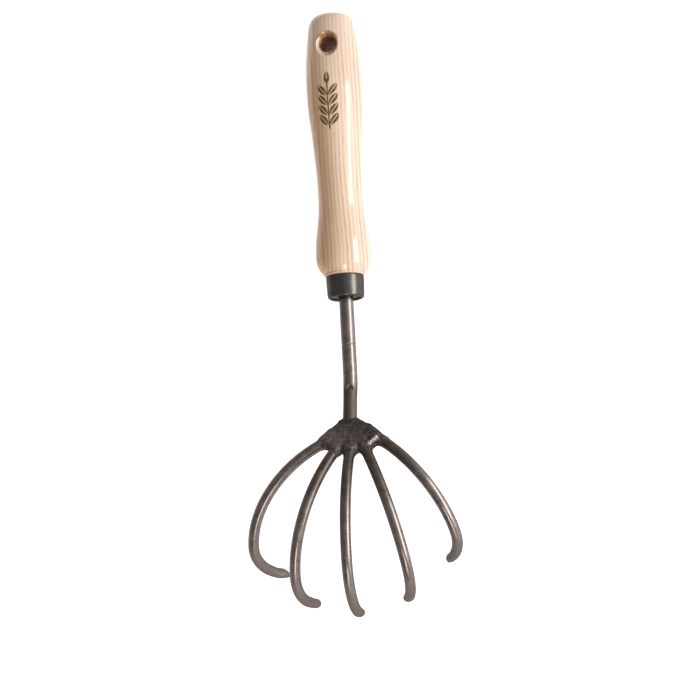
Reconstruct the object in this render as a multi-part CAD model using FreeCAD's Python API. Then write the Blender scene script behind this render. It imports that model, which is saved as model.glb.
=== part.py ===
import FreeCAD, Part
import math
import os

# Hand rake: a turned wooden handle, a steel ferrule, a round shank whose tang runs up inside the
# handle, a forged hub and five hooked round tines. All lengths are millimetres, angles degrees.
#
# The solids are first made in the tool's own frame. Its Y axis is the handle's axis, with the
# tines toward -Y and the ferrule's open end at Y = 0. Z is up, on the side where the tines arch,
# and X is to the right for somebody who faces the tool from the tine end. "Along" is the distance
# from the ferrule's open end toward the tines, so it is measured along -Y.
# At the end the whole tool is laid down the way it rests on a flat floor: on the handle's bulge
# and on the two outer tips.

os.makedirs("parts", exist_ok=True)

# Handle: its outline as (along, radius), from the butt over both bulges down to a short collar
# that meets the ferrule
HOLE_ALONG = -118.46
HOLE_CROWN_RADIUS = 12.26
HANDLE_OUTLINE = [
    (-135.67, 0.0),
    (-135.37, 3.82),
    (-134.81, 6.34),
    (-133.96, 8.35),
    (-132.25, 9.96),
    (-127.82, 11.17),
    (HOLE_ALONG, HOLE_CROWN_RADIUS),
    (-108.7, 13.0),
    (-98.63, 13.18),
    (-88.57, 12.83),
    (-78.5, 11.9),
    (-68.44, 11.15),
    (-58.37, 10.57),
    (-48.31, 10.35),
    (-40.26, 10.64),
    (-33.72, 11.47),
    (-27.17, 12.36),
    (-21.64, 12.74),
    (-17.11, 12.63),
    (-13.89, 11.57),
    (-11.27, 9.66),
]
COLLAR_END_RADIUS = 9.06

# Hang hole through the handle near its butt, countersunk on both sides and turned a little to
# the left about the handle's axis
HOLE_RADIUS = 4.0
COUNTERSINK_RIM_RADIUS = 6.4
COUNTERSINK_SPARE = 2.0
HOLE_TURN = -5.0

# Ferrule: a slightly tapered tube with a lip turned in over the end of the wood
FERRULE_LENGTH = 10.27
FERRULE_TOP_RADIUS = 8.71
FERRULE_END_RADIUS = 8.45
FERRULE_WALL = 0.8
LIP_THICKNESS = 1.0
LIP_INNER_RADIUS = 6.74
LIP_ROUND = 0.7

# Shank: a round rod; its tapered upper end is the tang inside the handle. Its lower stretch
# bends a little to the left, to a foot beside the fan point
SHANK_RADIUS = 3.27
TANG_POINT_ALONG = -62.0
TANG_TAPER_LENGTH = 30.0
TANG_POINT_RADIUS = 1.5
SHANK_BEND_ALONG = 37.24
SHANK_BEND_REACH = 3.5
SHANK_FOOT_SIDE = -1.36
SHANK_END_BEFORE_FOOT = 1.0
RING_ALONG = 21.14
RING_WIDTH = 0.5
RING_DEPTH = 0.15
STAMP_ALONG = 41.26
STAMP_WIDTH = 3.4
STAMP_LENGTH = 2.4
STAMP_DEPTH = 0.7

# Hub: the tines fan out from one point of it, in a plane pitched up from the handle's axis
FAN_ALONG = 58.98
FAN_SIDE = 0.96
FAN_HEIGHT = 0.7
FAN_PITCH = 42.5
HUB_BALL_RADIUS = 5.5
SLEEVE_ROOT_RADIUS = 4.5
SLEEVE_END_RADIUS = 3.25
SLEEVE_LENGTH = 17.0
WEB_RADIUS = 17.5
WEB_THICKNESS = 4.4

# Welds: tapered rings where the rods leave the hub; each starts a little inside the hub
TINE_WELD_LENGTH = 4.6
TINE_WELD_INSIDE = 1.0
TINE_WELD_ROOT_RADIUS = 3.0
TINE_WELD_END_RADIUS = 2.72
SHANK_WELD_START_BEFORE_FOOT = 3.4
SHANK_WELD_LENGTH = 3.4
SHANK_WELD_ROOT_RADIUS = 4.6
SHANK_WELD_END_RADIUS = 3.5

# Tines: round rods that start where they clear each other, then bend down in two arcs
TINE_RADIUS = 2.47
TINE_START = 13.29
FIRST_BEND_RADIUS = 48.9
SECOND_BEND_RADIUS = 27.0
TIP_TAPER = 5.0
TIP_RADIUS = 0.9

# Each tine's name, its yaw in the fan plane (positive to the right), how far its root is shifted
# to the right of the fan point, the radius scale and the angle of its first bend, the same for
# its second bend, and the straight length of its tip
TINES = [
    ("left_outer_tine", -59.2, 1.5, 0.956, 81.2, 0.86, 55.9, 7.7),
    ("left_inner_tine", -29.4, 0.7, 0.987, 78.3, 0.97, 51.9, 8.0),
    ("centre_tine", -3.7, -0.3, 1.037, 63.3, 1.19, 57.9, 6.9),
    ("right_inner_tine", 21.4, -0.6, 0.994, 67.8, 1.00, 57.0, 7.8),
    ("right_outer_tine", 48.0, 0.6, 0.908, 73.4, 0.75, 48.9, 8.0),
]

# Laying the tool down: the search for the angle at which the bulge and the tips touch one floor
STEEPEST_LAY = 20.0
LAYING_STEPS = 40
OUTLINE_SAMPLES = 400

ORIGIN = FreeCAD.Vector(0, 0, 0)
RIGHT = FreeCAD.Vector(1, 0, 0)
TOWARD_TINES = FreeCAD.Vector(0, -1, 0)
UP = FreeCAD.Vector(0, 0, 1)


def spot(along, side, height):
    """A point of the tool's own frame."""
    return TOWARD_TINES * along + RIGHT * side + UP * height


def turned(edges):
    """The solid that a closed flat outline sweeps in one turn about the handle's axis."""
    return Part.Face(Part.Wire(edges)).revolve(ORIGIN, TOWARD_TINES, 360)


def polyline(points):
    """Straight edges through the points, in order."""
    edges = []
    for start, end in zip(points, points[1:]):
        edges.append(Part.makeLine(start, end))
    return edges


def tapered_bar(start, direction, length, start_radius, end_radius):
    """A round bar whose radius changes evenly along its length."""
    return Part.makeCone(start_radius, end_radius, length, start, direction)


def swept_rod(path_edges, radius, start, direction):
    """A round rod along a path of tangent edges."""
    section = Part.Wire(Part.makeCircle(radius, start, direction))
    return Part.Wire(path_edges).makePipeShell([section], True, False)


# ---------------------------------------------------------------- ferrule
bore_top_radius = FERRULE_TOP_RADIUS - FERRULE_WALL
bore_end_radius = FERRULE_END_RADIUS - FERRULE_WALL
round_middle = LIP_ROUND * (1 - math.sqrt(0.5))
ferrule_edges = polyline([
    spot(-LIP_ROUND, FERRULE_END_RADIUS, 0),
    spot(-FERRULE_LENGTH, FERRULE_TOP_RADIUS, 0),
    spot(-FERRULE_LENGTH, bore_top_radius, 0),
    spot(-LIP_THICKNESS, bore_end_radius, 0),
    spot(-LIP_THICKNESS, LIP_INNER_RADIUS, 0),
    spot(0, LIP_INNER_RADIUS, 0),
    spot(0, FERRULE_END_RADIUS - LIP_ROUND, 0),
])
ferrule_edges.append(Part.Arc(
    spot(0, FERRULE_END_RADIUS - LIP_ROUND, 0),
    spot(-round_middle, FERRULE_END_RADIUS - round_middle, 0),
    spot(-LIP_ROUND, FERRULE_END_RADIUS, 0),
).toShape())
ferrule = turned(ferrule_edges)

# ---------------------------------------------------------------- shank with its tang
# Partway below the ferrule the rod bends by a few degrees toward its foot. The bend's arc is
# tangent to both straight stretches and reaches equally far along them.
shank_foot = spot(FAN_ALONG, SHANK_FOOT_SIDE, FAN_HEIGHT)
bend_corner = spot(SHANK_BEND_ALONG, 0, 0)
lower_direction = (shank_foot - bend_corner).normalize()
half_bend = TOWARD_TINES.getAngle(lower_direction) / 2
bend_radius = SHANK_BEND_REACH / math.tan(half_bend)
bend_inward = (lower_direction - TOWARD_TINES).normalize()
bend_start = bend_corner - TOWARD_TINES * SHANK_BEND_REACH
bend_middle = bend_corner + bend_inward * bend_radius * (1 / math.cos(half_bend) - 1)
bend_end = bend_corner + lower_direction * SHANK_BEND_REACH
tang_taper_end = spot(TANG_POINT_ALONG + TANG_TAPER_LENGTH, 0, 0)
shank_rod = swept_rod(
    [
        Part.makeLine(tang_taper_end, bend_start),
        Part.Arc(bend_start, bend_middle, bend_end).toShape(),
        Part.makeLine(bend_end, shank_foot - lower_direction * SHANK_END_BEFORE_FOOT),
    ],
    SHANK_RADIUS, tang_taper_end, TOWARD_TINES,
)
tang = tapered_bar(
    spot(TANG_POINT_ALONG, 0, 0), TOWARD_TINES, TANG_TAPER_LENGTH, TANG_POINT_RADIUS, SHANK_RADIUS
)
shank_blank = shank_rod.fuse(tang).removeSplitter()

# A scribed ring around the straight upper stretch, and a half-round punch mark on the upper side
# of the lower stretch
ring_start = spot(RING_ALONG, 0, 0)
ring_band = Part.makeCylinder(2 * SHANK_RADIUS, RING_WIDTH, ring_start, TOWARD_TINES)
ring_core = Part.makeCylinder(SHANK_RADIUS - RING_DEPTH, RING_WIDTH, ring_start, TOWARD_TINES)
stamp_base = bend_corner + lower_direction * (STAMP_ALONG + STAMP_LENGTH / 2 - SHANK_BEND_ALONG)
stamp_base += UP * (SHANK_RADIUS - STAMP_DEPTH)
stamp_left = stamp_base - RIGHT * (STAMP_WIDTH / 2)
stamp_right = stamp_base + RIGHT * (STAMP_WIDTH / 2)
stamp_crown = stamp_base - TOWARD_TINES * STAMP_LENGTH
stamp_face = Part.Face(Part.Wire([
    Part.Arc(stamp_left, stamp_crown, stamp_right).toShape(),
    Part.makeLine(stamp_right, stamp_left),
]))
shank = shank_blank.cut(ring_band.cut(ring_core)).cut(stamp_face.extrude(UP * SHANK_RADIUS))

# ---------------------------------------------------------------- handle
# Only the first tangent is set: the butt is level where it crosses the axis.
outline = Part.BSplineCurve()
outline.interpolate(
    Points=[spot(along, radius, 0) for along, radius in HANDLE_OUTLINE],
    Tangents=[RIGHT] * len(HANDLE_OUTLINE),
    TangentFlags=[True] + [False] * (len(HANDLE_OUTLINE) - 1),
)
handle_edges = [outline.toShape()] + polyline([
    outline.value(outline.LastParameter),
    spot(-FERRULE_LENGTH, COLLAR_END_RADIUS, 0),
    spot(-FERRULE_LENGTH, bore_top_radius, 0),
    spot(-LIP_THICKNESS, bore_end_radius, 0),
    spot(-LIP_THICKNESS, 0, 0),
    outline.value(outline.FirstParameter),
])
hole_axis = (UP * math.cos(math.radians(HOLE_TURN)) + RIGHT * math.sin(math.radians(HOLE_TURN)))
hole_centre = spot(HOLE_ALONG, 0, 0)
hole_reach = HOLE_CROWN_RADIUS + COUNTERSINK_SPARE
countersink_depth = COUNTERSINK_RIM_RADIUS - HOLE_RADIUS
handle = turned(handle_edges).cut(shank_blank)
handle = handle.cut(
    Part.makeCylinder(HOLE_RADIUS, 2 * hole_reach, hole_centre - hole_axis * hole_reach, hole_axis)
)
for outward in (hole_axis, hole_axis * -1):
    handle = handle.cut(tapered_bar(
        hole_centre + outward * (HOLE_CROWN_RADIUS - countersink_depth), outward,
        countersink_depth + COUNTERSINK_SPARE, HOLE_RADIUS, COUNTERSINK_RIM_RADIUS + COUNTERSINK_SPARE,
    ))

# ---------------------------------------------------------------- tines
fan_point = spot(FAN_ALONG, FAN_SIDE, FAN_HEIGHT)
fan_forward = (
    TOWARD_TINES * math.cos(math.radians(FAN_PITCH)) + UP * math.sin(math.radians(FAN_PITCH))
)
fan_down = (
    TOWARD_TINES * math.sin(math.radians(FAN_PITCH)) - UP * math.cos(math.radians(FAN_PITCH))
)


def tine_heading(yaw):
    """The direction in which a tine leaves the hub."""
    return fan_forward * math.cos(math.radians(yaw)) + RIGHT * math.sin(math.radians(yaw))


def tine_root(yaw, shift):
    """The point from which a tine's length is measured, beside the fan point."""
    across = RIGHT * math.cos(math.radians(yaw)) - fan_forward * math.sin(math.radians(yaw))
    return fan_point + across * shift


def tine_course(tine, turn):
    """The centre and the direction of a tine where it has bent down by the turn, in degrees."""
    name, yaw, shift, first_scale, first_angle, second_scale, second_angle, tip_length = tine
    first_radius = FIRST_BEND_RADIUS * first_scale
    second_radius = SECOND_BEND_RADIUS * second_scale
    first_end = math.radians(min(turn, first_angle))
    now = math.radians(turn)
    out = TINE_START + first_radius * math.sin(first_end)
    out += second_radius * (math.sin(now) - math.sin(first_end))
    down = first_radius * (1 - math.cos(first_end))
    down += second_radius * (math.cos(first_end) - math.cos(now))
    heading = tine_heading(yaw)
    centre = tine_root(yaw, shift) + heading * out + fan_down * down
    direction = heading * math.cos(now) + fan_down * math.sin(now)
    return centre, direction


def make_tine(tine):
    """One tine with its tapered, rounded tip, and the centre of that tip."""
    name, yaw, shift, first_scale, first_angle, second_scale, second_angle, tip_length = tine
    start, start_direction = tine_course(tine, 0)
    first_middle = tine_course(tine, first_angle / 2)[0]
    first_end = tine_course(tine, first_angle)[0]
    second_middle = tine_course(tine, first_angle + second_angle / 2)[0]
    second_end, tip_direction = tine_course(tine, first_angle + second_angle)
    taper_start = second_end + tip_direction * (tip_length - TIP_TAPER)
    tip_centre = second_end + tip_direction * tip_length
    rod = swept_rod(
        [
            Part.Arc(start, first_middle, first_end).toShape(),
            Part.Arc(first_end, second_middle, second_end).toShape(),
            Part.makeLine(second_end, taper_start),
        ],
        TINE_RADIUS, start, start_direction,
    )
    taper = tapered_bar(taper_start, tip_direction, TIP_TAPER, TINE_RADIUS, TIP_RADIUS)
    point = Part.makeSphere(TIP_RADIUS, tip_centre)
    return rod.fuse([taper, point]).removeSplitter(), tip_centre


tines = {}
tip_centres = []
for tine in TINES:
    tines[tine[0]], tip = make_tine(tine)
    tip_centres.append(tip)

# ---------------------------------------------------------------- hub
web_left = fan_point + tine_heading(TINES[0][1]) * WEB_RADIUS
web_middle = fan_point + tine_heading((TINES[0][1] + TINES[-1][1]) / 2) * WEB_RADIUS
web_right = fan_point + tine_heading(TINES[-1][1]) * WEB_RADIUS
web_face = Part.Face(Part.Wire([
    Part.makeLine(fan_point, web_left),
    Part.Arc(web_left, web_middle, web_right).toShape(),
    Part.makeLine(web_right, fan_point),
]))
web_face.translate(fan_down * (-WEB_THICKNESS / 2))
hub_lumps = [Part.makeSphere(HUB_BALL_RADIUS, (fan_point + shank_foot) / 2)]
for tine in TINES:
    yaw, shift = tine[1:3]
    hub_lumps.append(tapered_bar(
        tine_root(yaw, shift), tine_heading(yaw), SLEEVE_LENGTH, SLEEVE_ROOT_RADIUS,
        SLEEVE_END_RADIUS,
    ))
hub = web_face.extrude(fan_down * WEB_THICKNESS).fuse(hub_lumps).removeSplitter()
hub = hub.cut([shank_blank] + list(tines.values()))

# ---------------------------------------------------------------- welds
welds = {}
for tine in TINES:
    name = tine[0]
    first_radius = FIRST_BEND_RADIUS * tine[3]
    weld_start_turn = math.degrees((SLEEVE_LENGTH - TINE_WELD_INSIDE - TINE_START) / first_radius)
    weld_end_turn = weld_start_turn + math.degrees(TINE_WELD_LENGTH / first_radius)
    weld_start = tine_course(tine, weld_start_turn)[0]
    weld_way = tine_course(tine, weld_end_turn)[0] - weld_start
    weld = tapered_bar(
        weld_start, weld_way, weld_way.Length, TINE_WELD_ROOT_RADIUS, TINE_WELD_END_RADIUS
    )
    welds[name + "_weld"] = weld.cut([hub, tines[name]])
shank_weld = tapered_bar(
    shank_foot - lower_direction * SHANK_WELD_START_BEFORE_FOOT, lower_direction * -1,
    SHANK_WELD_LENGTH, SHANK_WELD_ROOT_RADIUS, SHANK_WELD_END_RADIUS,
)
welds["shank_weld"] = shank_weld.cut([hub, shank_blank])

# ---------------------------------------------------------------- laying the tool down
# It is rolled about the handle's axis until the two outer tips are level, and then its tine end
# is raised until the handle's bulge and those tips touch one floor.
tip_span = tip_centres[-1] - tip_centres[0]
roll = -math.atan2(tip_span.dot(UP), tip_span.dot(RIGHT))
roll_rotation = FreeCAD.Rotation(TOWARD_TINES, math.degrees(roll))
rolled_tips = [roll_rotation.multVec(tip) for tip in tip_centres]

handle_samples = []
for step in range(OUTLINE_SAMPLES + 1):
    reach = outline.FirstParameter
    reach += (outline.LastParameter - outline.FirstParameter) * step / OUTLINE_SAMPLES
    handle_samples.append(outline.value(reach))


def handle_bottom(lay):
    """Height of the handle's lowest point when the tine end is raised by the lay angle."""
    heights = []
    for point in handle_samples:
        radius = point.dot(RIGHT)
        heights.append(point.dot(TOWARD_TINES) * math.sin(lay) - radius * math.cos(lay))
    return min(heights)


def tip_bottom(lay):
    """Height of the lowest tip at that angle."""
    heights = []
    for tip in rolled_tips:
        heights.append(tip.dot(TOWARD_TINES) * math.sin(lay) + tip.dot(UP) * math.cos(lay))
    return min(heights) - TIP_RADIUS


low_lay = 0.0
high_lay = math.radians(STEEPEST_LAY)
for step in range(LAYING_STEPS):
    lay = (low_lay + high_lay) / 2
    if handle_bottom(lay) > tip_bottom(lay):
        low_lay = lay
    else:
        high_lay = lay
lay_rotation = FreeCAD.Rotation(RIGHT, -math.degrees(lay)).multiply(roll_rotation)

nodes = {"handle": handle, "ferrule": ferrule, "shank": shank, "hub": hub}
nodes.update(tines)
nodes.update(welds)
laid = {}
for name, shape in nodes.items():
    if len(shape.Solids) != 1:
        raise ValueError(name + " should be one solid, but has " + str(len(shape.Solids)))
    laid[name] = shape.Solids[0].copy()
    laid[name].rotate(ORIGIN, lay_rotation.Axis, math.degrees(lay_rotation.Angle))

# The frame's origin is the middle of the whole tool's footprint, at floor level.
box = Part.makeCompound(list(laid.values())).optimalBoundingBox()
to_origin = FreeCAD.Vector(-box.Center.x, -box.Center.y, -box.ZMin)
for name, shape in laid.items():
    shape.translate(to_origin)
    if not shape.isValid():
        raise ValueError(name + " is not a valid solid")
    shape.exportStep("parts/" + name + ".step")

print("roll and lay angles", round(math.degrees(roll), 3), round(math.degrees(lay), 3))
print("overall size", round(box.XLength, 2), round(box.YLength, 2), round(box.ZLength, 2))
print("ferrule end centre", to_origin)
print("hang hole centre", lay_rotation.multVec(hole_centre) + to_origin)
print("hang hole axis", lay_rotation.multVec(hole_axis))
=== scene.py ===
import math

import bmesh
import bpy
import numpy as np
from mathutils import Matrix, Vector, noise


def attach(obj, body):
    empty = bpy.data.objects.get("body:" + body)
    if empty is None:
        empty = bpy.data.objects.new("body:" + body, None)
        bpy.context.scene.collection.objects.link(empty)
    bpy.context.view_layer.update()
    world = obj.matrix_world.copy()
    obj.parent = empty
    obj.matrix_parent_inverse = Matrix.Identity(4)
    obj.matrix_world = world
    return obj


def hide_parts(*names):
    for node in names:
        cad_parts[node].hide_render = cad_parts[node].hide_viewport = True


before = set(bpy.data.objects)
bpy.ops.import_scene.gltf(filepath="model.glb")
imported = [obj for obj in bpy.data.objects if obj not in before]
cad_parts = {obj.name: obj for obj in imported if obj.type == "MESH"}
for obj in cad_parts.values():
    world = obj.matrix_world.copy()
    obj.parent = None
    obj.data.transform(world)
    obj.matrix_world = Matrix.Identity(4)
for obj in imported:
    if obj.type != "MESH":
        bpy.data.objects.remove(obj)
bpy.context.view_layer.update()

MM = 0.001

# ---------------------------------------------------------------- the tool's own frame
# "Along" runs from the ferrule's open end toward the tines, "side" to the right and "up" to the
# arched side, all in millimetres. The tool lies rolled and tilted on the floor.
ROLL = math.radians(-9.333)
LAY = math.radians(2.941)
FERRULE_END = Vector((0.0039414, 0.0041877, 0.0185619))
LYING = (
    Matrix.Translation(FERRULE_END)
    @ Matrix.Rotation(-LAY, 4, "X")
    @ Matrix.Rotation(ROLL, 4, Vector((0, -1, 0)))
)


def place(along, side, up):
    """A point of the tool's own frame, in metres in the row frame."""
    return LYING @ Vector((side * MM, -along * MM, up * MM))


def heading(along, side, up):
    """A direction of the tool's own frame, in the row frame."""
    return (LYING.to_3x3() @ Vector((side, -along, up))).normalized()


# The tines fan out from one point in a plane that is pitched up from the handle's axis.
FAN = (58.98, 0.96, 0.7)
PITCH = math.radians(42.5)
FAN_FORWARD = np.array((math.cos(PITCH), 0.0, math.sin(PITCH)))
FAN_DOWN = np.array((math.sin(PITCH), 0.0, -math.cos(PITCH)))
FAN_RIGHT = np.array((0.0, 1.0, 0.0))


def fan_spot(forward, right, up):
    """A point of the fan plane's frame as (along, side, up)."""
    return np.array(FAN) + FAN_FORWARD * forward + FAN_RIGHT * right - FAN_DOWN * up


# ---------------------------------------------------------------- camera
CAMERA_AT = Vector((0.24091, -0.11795, 0.77876))
CAMERA_TOWARD = Vector((0.29521, -0.12278, 0.94751))
CAMERA_UP = Vector((0.10277, 0.99004, 0.09626))
SENSOR = 36.0
LENS = 90.88

camera_data = bpy.data.cameras.new("camera")
camera_data.sensor_width = SENSOR
camera_data.lens = LENS
camera_data.clip_start = 0.05
camera_data.clip_end = 20.0
camera = bpy.data.objects.new("camera", camera_data)
bpy.context.scene.collection.objects.link(camera)
camera_right = CAMERA_UP.cross(CAMERA_TOWARD).normalized()
camera_up = CAMERA_TOWARD.cross(camera_right).normalized()
camera_matrix = Matrix((camera_right, camera_up, CAMERA_TOWARD.normalized())).transposed()
camera.matrix_world = Matrix.Translation(CAMERA_AT) @ camera_matrix.to_4x4()
bpy.context.scene.camera = camera


# ---------------------------------------------------------------- node helpers
class Nodes:
    """Short calls for building a material's node tree."""

    def __init__(self, name):
        self.material = bpy.data.materials.new(name)
        self.material.use_nodes = True
        self.tree = self.material.node_tree
        self.tree.nodes.clear()
        self.output = self.tree.nodes.new("ShaderNodeOutputMaterial")

    def put(self, socket, value):
        """Links a socket or sets a plain value on an input."""
        if isinstance(value, bpy.types.NodeSocket):
            self.tree.links.new(value, socket)
        elif value is not None:
            socket.default_value = value

    def node(self, kind, inputs=None, **settings):
        made = self.tree.nodes.new(kind)
        for key, value in settings.items():
            setattr(made, key, value)
        for key, value in (inputs or {}).items():
            self.put(made.inputs[key], value)
        return made

    def math(self, operation, a, b=0.0, c=0.0):
        made = self.node("ShaderNodeMath", {0: a, 1: b, 2: c}, operation=operation)
        return made.outputs[0]

    def vector_math(self, operation, a, b=(0, 0, 0)):
        made = self.node("ShaderNodeVectorMath", {0: a, 1: b}, operation=operation)
        return made.outputs["Value" if operation in ("LENGTH", "DOT_PRODUCT") else "Vector"]

    def position(self):
        """The surface point in the row frame, in millimetres."""
        geometry = self.node("ShaderNodeTexCoord")
        scaled = self.node("ShaderNodeVectorMath", {0: geometry.outputs["Object"]}, operation="SCALE")
        scaled.inputs["Scale"].default_value = 1.0 / MM
        return scaled.outputs["Vector"]

    def tool_position(self):
        """The surface point as (side, -along, up) in the tool's own frame, in millimetres."""
        back = LYING.inverted()
        moved = self.vector_math("SUBTRACT", self.position(), tuple(FERRULE_END / MM))
        axes = []
        for row in back.to_3x3():
            axes.append(self.vector_math("DOT_PRODUCT", moved, tuple(row)))
        return self.node("ShaderNodeCombineXYZ", {0: axes[0], 1: axes[1], 2: axes[2]}).outputs[0], axes

    def noise(self, vector, scale, detail=3.0, roughness=0.5, stretch=(1, 1, 1)):
        """Noise from 0 to 1 whose features are stretched along an axis by a large factor there."""
        squeezed = self.vector_math("DIVIDE", vector, stretch)
        made = self.node(
            "ShaderNodeTexNoise",
            {"Vector": squeezed, "Scale": scale, "Detail": detail, "Roughness": roughness},
        )
        return made.outputs["Fac"]

    def ramp(self, value, stops, smooth=True):
        made = self.node("ShaderNodeValToRGB", {0: value})
        ramp = made.color_ramp
        ramp.interpolation = "EASE" if smooth else "LINEAR"
        while len(ramp.elements) < len(stops):
            ramp.elements.new(0.5)
        for element, (place_at, colour) in zip(ramp.elements, stops):
            element.position = place_at
            if isinstance(colour, (int, float)):
                colour = (colour, colour, colour)
            element.color = (*colour, 1.0)
        return made.outputs["Color"]

    def mix(self, factor, a, b, blend="MIX"):
        made = self.node("ShaderNodeMix", data_type="RGBA", blend_type=blend)
        self.put(made.inputs[0], factor)
        self.put(made.inputs[6], (*a, 1.0) if isinstance(a, tuple) else a)
        self.put(made.inputs[7], (*b, 1.0) if isinstance(b, tuple) else b)
        return made.outputs[2]

    def between(self, value, low, high, to_low=0.0, to_high=1.0, smooth=True):
        made = self.node(
            "ShaderNodeMapRange",
            {"Value": value, "From Min": low, "From Max": high, "To Min": to_low, "To Max": to_high},
        )
        made.interpolation_type = "SMOOTHSTEP" if smooth else "LINEAR"
        return made.outputs["Result"]

    def bump(self, height, distance, strength=1.0):
        made = self.node("ShaderNodeBump", {"Height": height, "Distance": distance, "Strength": strength})
        return made.outputs["Normal"]

    def surface(self, **inputs):
        shader = self.node("ShaderNodeBsdfPrincipled")
        for key, value in inputs.items():
            self.put(shader.inputs[key.replace("_", " ")], value)
        self.tree.links.new(shader.outputs[0], self.output.inputs["Surface"])
        return self.material


# ---------------------------------------------------------------- materials
HOLE_ALONG = -118.46
HOLE_TURN = math.radians(-5.0)
HOLE_RADIUS = 4.0
HOLE_RIM_RADIUS = 6.4
HOLE_CROWN = 12.26
RING_SPACING = 1.85
RING_LEAN = math.radians(-14.0)


def wood_material():
    """Pale straight-grained ashwood: growth rings, pores and fibres along the handle, a burnt-in
    sprig near the butt, a browner left side that is partly heartwood and partly painted shade, a
    right side toned down with painted shade where the key light falls, and painted shade inside
    the hang hole."""
    n = Nodes("ash_wood")
    point, (side, back, up) = n.tool_position()
    # growth rings: nearly flat layers that stand on edge and run the length of the handle
    wander = n.noise(point, 0.10, 2.0, 0.5, (1, 14, 2))
    drift = n.noise(point, 0.020, 1.0, 0.5, (1, 1.6, 1))
    layer = n.math("ADD", n.math("MULTIPLY", side, math.cos(RING_LEAN) / RING_SPACING),
                   n.math("MULTIPLY", up, math.sin(RING_LEAN) / RING_SPACING))
    rings = n.math("ADD", layer, n.math("MULTIPLY_ADD", wander, 1.5, n.math("MULTIPLY", drift, 3.2)))
    year = n.math("FRACT", rings)
    early = n.math("MULTIPLY", n.between(year, 0.0, 0.28), n.between(year, 0.85, 0.34))
    bands = n.noise(point, 0.17, 2.0, 0.5, (1, 30, 1.5))
    early = n.math("MULTIPLY", early, n.between(bands, 0.30, 0.62, 0.45, 1.0))
    # long open pores, mostly in the early wood
    pores = n.noise(point, 1.9, 2.0, 0.55, (1, 26, 1))
    fine_pores = n.noise(point, 4.5, 2.0, 0.6, (1, 34, 1))
    pore = n.between(n.math("MULTIPLY_ADD", fine_pores, 0.5, n.math("MULTIPLY", pores, 0.5)), 0.53, 0.64)
    pore = n.math("MULTIPLY", pore, n.math("MULTIPLY_ADD", early, 0.8, 0.12))
    fibres = n.noise(point, 7.0, 3.0, 0.6, (1, 60, 1))
    # the left side is browner, partly heartwood and partly painted shade, and the far right, where the
    # key light falls, is toned down with painted shade; the wood is also paler toward the butt
    heart_and_shade = n.math("ADD", side, n.math("MULTIPLY", n.math("SUBTRACT", bands, 0.5), 9.0))
    heart_and_shade = n.math("ADD", heart_and_shade, n.between(back, 88.0, 128.0, 0.0, 6.5))
    colour = n.ramp(n.between(heart_and_shade, -13.0, 9.0, smooth=False), WOOD_TONES_AND_SHADE, smooth=False)
    line = n.mix(1.0, colour, (0.77, 0.60, 0.46), "MULTIPLY")
    colour = n.mix(n.math("MULTIPLY", early, 0.85), colour, line)
    deep = n.mix(1.0, colour, (0.52, 0.40, 0.30), "MULTIPLY")
    colour = n.mix(n.math("MULTIPLY", pore, 0.7), colour, deep)
    colour = n.mix(n.between(fibres, 0.35, 0.7, 0.0, 0.10), colour, (0.88, 0.80, 0.72))
    # the butt side of the countersink is painted orange-brown, darker with depth, and the bore dark
    # and mottled: painted shade inside the hang hole
    turned_side = n.math("SUBTRACT", n.math("MULTIPLY", side, math.cos(HOLE_TURN)),
                         n.math("MULTIPLY", up, math.sin(HOLE_TURN)))
    from_hole = n.math("SUBTRACT", back, -HOLE_ALONG)
    hole_gap = n.math("SQRT", n.math("ADD", n.math("MULTIPLY", turned_side, turned_side),
                                     n.math("MULTIPLY", from_hole, from_hole)))
    shade_patches = n.noise(point, 0.8, 3.0, 0.6)
    hole_shade = n.math("MULTIPLY", n.between(hole_gap, HOLE_RIM_RADIUS + 0.1, HOLE_RIM_RADIUS - 0.9),
                   n.between(from_hole, 0.8, 4.2))
    hole_wall_shade = n.mix(n.between(hole_gap, HOLE_RIM_RADIUS, HOLE_RADIUS + 0.3), (0.50, 0.27, 0.115),
                    (0.20, 0.095, 0.04))
    colour = n.mix(n.math("MULTIPLY", hole_shade, 0.95), colour, hole_wall_shade)
    # painted shade of the bore: dark brown with paler mottles
    bore_shade = n.mix(n.between(shade_patches, 0.36, 0.64), (0.13, 0.048, 0.015), (0.46, 0.25, 0.105))
    bore = n.between(hole_gap, HOLE_RADIUS + 0.45, HOLE_RADIUS + 0.1)
    colour = n.mix(bore, colour, bore_shade)
    # burnt-in sprig: a stem with leaves in pairs, pressed in from above
    mark = sprig_mask(n, side, back, up)
    scorch = n.noise(point, 0.9, 3.0, 0.6)
    burn = n.math("MULTIPLY", mark, n.between(scorch, 0.25, 0.6, 0.72, 1.0))
    colour = n.mix(burn, colour, (0.105, 0.052, 0.024))
    height = n.math("SUBTRACT", n.math("MULTIPLY", fibres, 0.25), n.math("MULTIPLY", pore, 0.9))
    height = n.math("SUBTRACT", height, n.math("MULTIPLY", mark, 2.2))
    normal = n.bump(height, 0.06 * MM, 0.7)
    lacquer = n.bump(height, 0.003 * MM, 0.7)
    rough = n.math("MULTIPLY_ADD", pore, 0.12, n.math("MULTIPLY_ADD", fibres, 0.12, 0.5))
    rough = n.math("ADD", rough, n.math("MULTIPLY", mark, 0.2))
    # a thin satin varnish, missing inside the bore and on the burnt mark
    varnish = n.math("MULTIPLY", n.between(bore, 1.0, 0.0, 0.0, 0.9), n.between(mark, 1.0, 0.0, 0.2, 1.0))
    gloss = n.math("MULTIPLY_ADD", fibres, 0.05, 0.05)
    return n.surface(
        Base_Color=colour, Roughness=rough, Normal=normal, Specular_IOR_Level=0.12,
        Coat_Weight=varnish, Coat_Roughness=gloss, Coat_IOR=1.5, Coat_Normal=lacquer,
    )


# tones across the handle from its left side to its right: the brown left end is partly painted shade, and
# the darker right end is painted shade where the key light falls
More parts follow.
